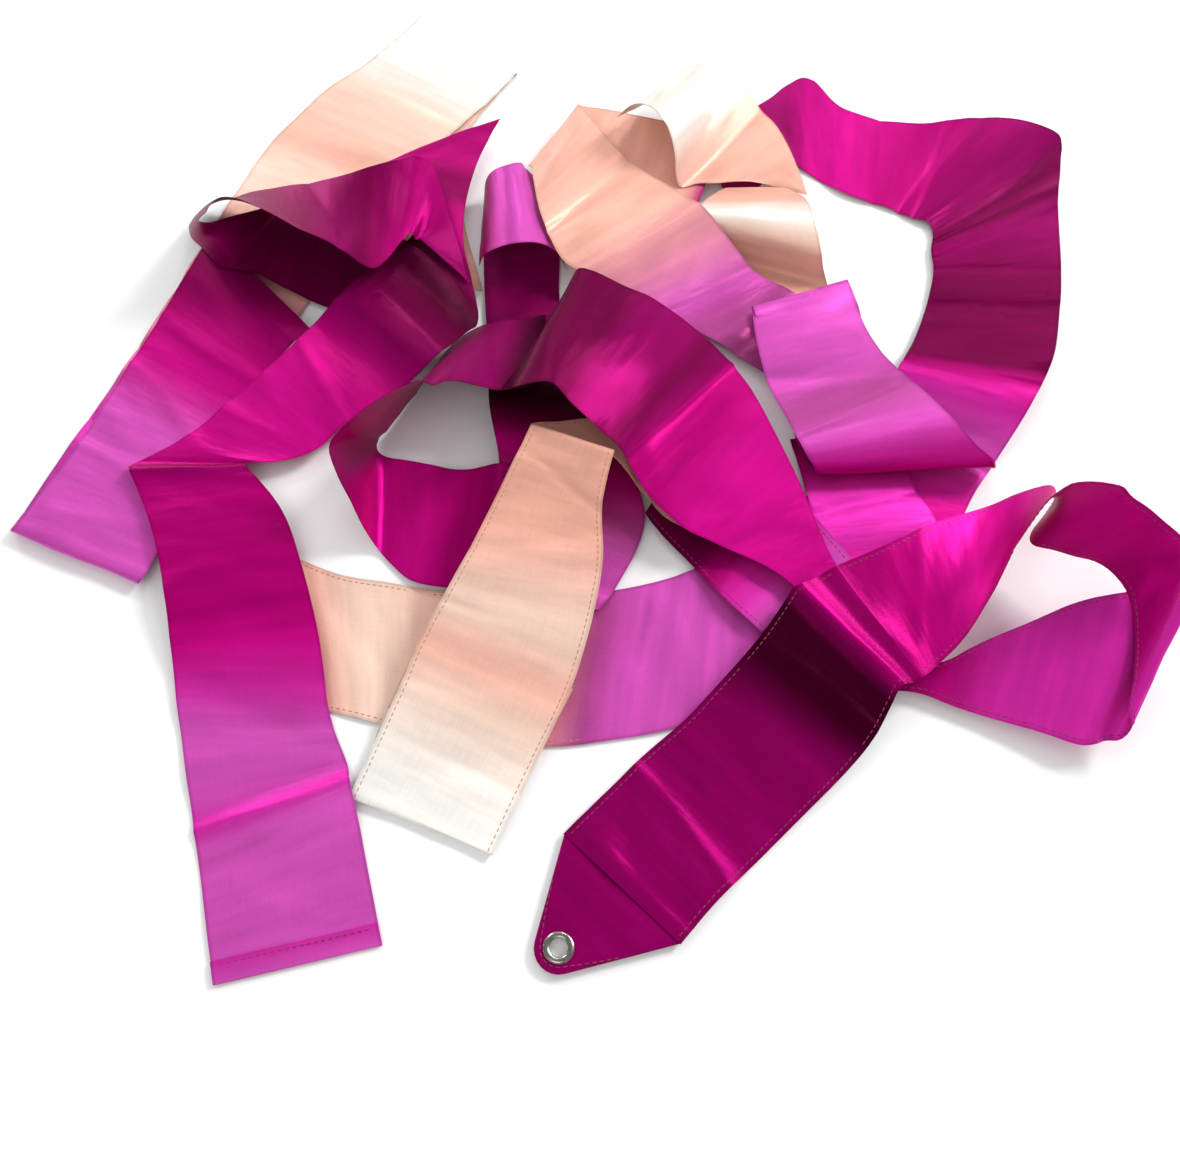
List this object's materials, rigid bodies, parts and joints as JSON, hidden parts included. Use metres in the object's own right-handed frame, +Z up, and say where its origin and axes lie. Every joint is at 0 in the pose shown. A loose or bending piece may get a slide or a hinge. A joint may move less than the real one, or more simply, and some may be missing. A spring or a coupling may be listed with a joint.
{
  "type": "rhythmic gymnastics ribbon",
  "caption": "Long satin rhythmic gymnastics ribbon in a loose heap, colours fading from plum to white, with a doubled pointed eyelet end and a hemmed far end.",
  "frame": {"origin": "middle of the heap's footprint, on the table it lies on", "axes": "+Z up from the table; -Y is the side both loose ends lie on; +X is the side of the standing loop"},
  "size_m": [0.3971, 0.4235, 0.0473],
  "materials": {
    "satin_plum": "satin",
    "satin_magenta": "satin",
    "satin_orchid": "satin",
    "satin_peach": "satin",
    "satin_white": "satin",
    "thread": "matte thread",
    "eyelet_metal": "polished"
  },
  "bodies": {
    "heap": {"strip_big_curl": "satin_magenta", "strip_crossing": "satin_magenta", "strip_eyelet_side": "satin_magenta", "strip_far_stretch": "satin_peach", "strip_hem_side": "satin_magenta", "strip_inner_turn": "satin_orchid", "strip_left_sweep": "satin_magenta", "strip_lower_band": "satin_peach", "strip_middle_band": "satin_magenta", "strip_orchid_flap": "satin_orchid", "strip_orchid_hoop": "satin_orchid", "strip_peach_cone": "satin_peach", "strip_peach_roll": "satin_peach", "strip_right_loop": "satin_magenta", "strip_tongue": "satin_peach", "strip_under_tongue": "satin_magenta", "strip_white_hoop": "satin_white"},
    "eyelet_tail": {"eyelet_tail_upper": "satin_plum", "lining_upper": "satin_plum", "stitch_upper_left": "thread", "stitch_upper_right": "thread"},
    "eyelet_end": {"eyelet_tail_lower": "satin_plum", "lining_lower": "satin_plum", "stitch_lower_left": "thread", "stitch_lower_right": "thread", "folded_tip": "satin_plum", "folded_tip_back": "satin_plum", "stitch_point": "thread", "eyelet_barrel": "eyelet_metal", "eyelet_washer": "eyelet_metal"},
    "hem_tail": {"hem_tail_upper": "satin_magenta"},
    "hem_end": {"hem_tail_lower": "satin_orchid", "hem_turn": "satin_orchid", "hem_stitch": "thread"}
  },
  "joints": [
    {"name": "eyelet_tail_lift", "type": "hinge", "parent": "heap", "child": "eyelet_tail", "pos_m": [0.08358, -0.107, 0.01068], "axis": [-0.6494, 0.7577, 0.0649], "range_deg": [0, 60]},
    {"name": "eyelet_end_bend", "type": "hinge", "parent": "eyelet_tail", "child": "eyelet_end", "pos_m": [0.04928, -0.14732, 0.00221], "axis": [-0.7595, 0.649, 0.0437], "range_deg": [0, 75]},
    {"name": "hem_tail_lift", "type": "hinge", "parent": "heap", "child": "hem_tail", "pos_m": [-0.13942, -0.0405, 0.00818], "axis": [-0.9988, -0.0499, 0], "range_deg": [0, 60]},
    {"name": "hem_end_bend", "type": "hinge", "parent": "hem_tail", "child": "hem_end", "pos_m": [-0.09522, -0.15916, 0.00123], "axis": [-0.9423, -0.332, -0.0433], "range_deg": [0, 90]}
  ]
}
